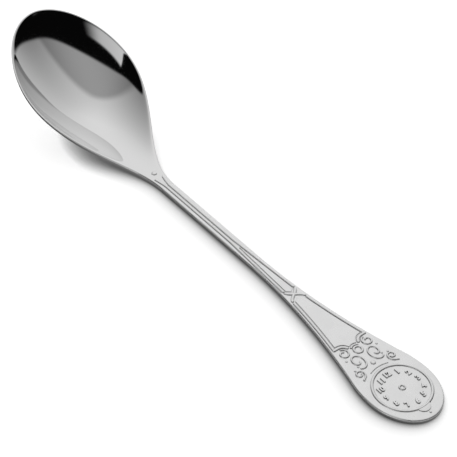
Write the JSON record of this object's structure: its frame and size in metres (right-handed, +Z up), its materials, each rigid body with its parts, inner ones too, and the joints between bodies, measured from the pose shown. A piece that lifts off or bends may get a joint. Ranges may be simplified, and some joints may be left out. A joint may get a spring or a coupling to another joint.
{
  "type": "baby spoon",
  "caption": "Silver baby spoon with an upturned egg-shaped bowl and a slim flat handle that flares to a clock-dial end with raised reeds and scrolls.",
  "frame": {"origin": "middle of the spoon's length and width, on the plane that its handle lies on", "axes": "+X from the bowl tip to the handle end, +Z up out of the bowl, +Y to the right when the handle end is towards the viewer"},
  "size_m": [0.138, 0.029, 0.0203],
  "materials": {
    "polished_silver": "mirror-polished silver",
    "satin_silver": "satin silver, darker in the creases"
  },
  "bodies": {
    "root": {"bowl": "polished_silver", "shank": "satin_silver", "terminal_plate": "satin_silver", "neck_bead": "satin_silver", "shank_reed_left": "satin_silver", "shank_reed_right": "satin_silver", "knot": "satin_silver", "panel_reed_left": "satin_silver", "panel_reed_right": "satin_silver", "upper_scroll_left": "satin_silver", "upper_scroll_right": "satin_silver", "scroll_ring": "satin_silver", "main_scroll_left": "satin_silver", "main_scroll_right": "satin_silver", "scroll_bead": "satin_silver", "lower_scroll_left": "satin_silver", "lower_scroll_right": "satin_silver", "scroll_nubs": "satin_silver", "dial_fence": "satin_silver", "dial_ring": "satin_silver", "dial_hub": "satin_silver", "end_ledge": "satin_silver", "end_bead": "satin_silver"}
  },
  "joints": []
}
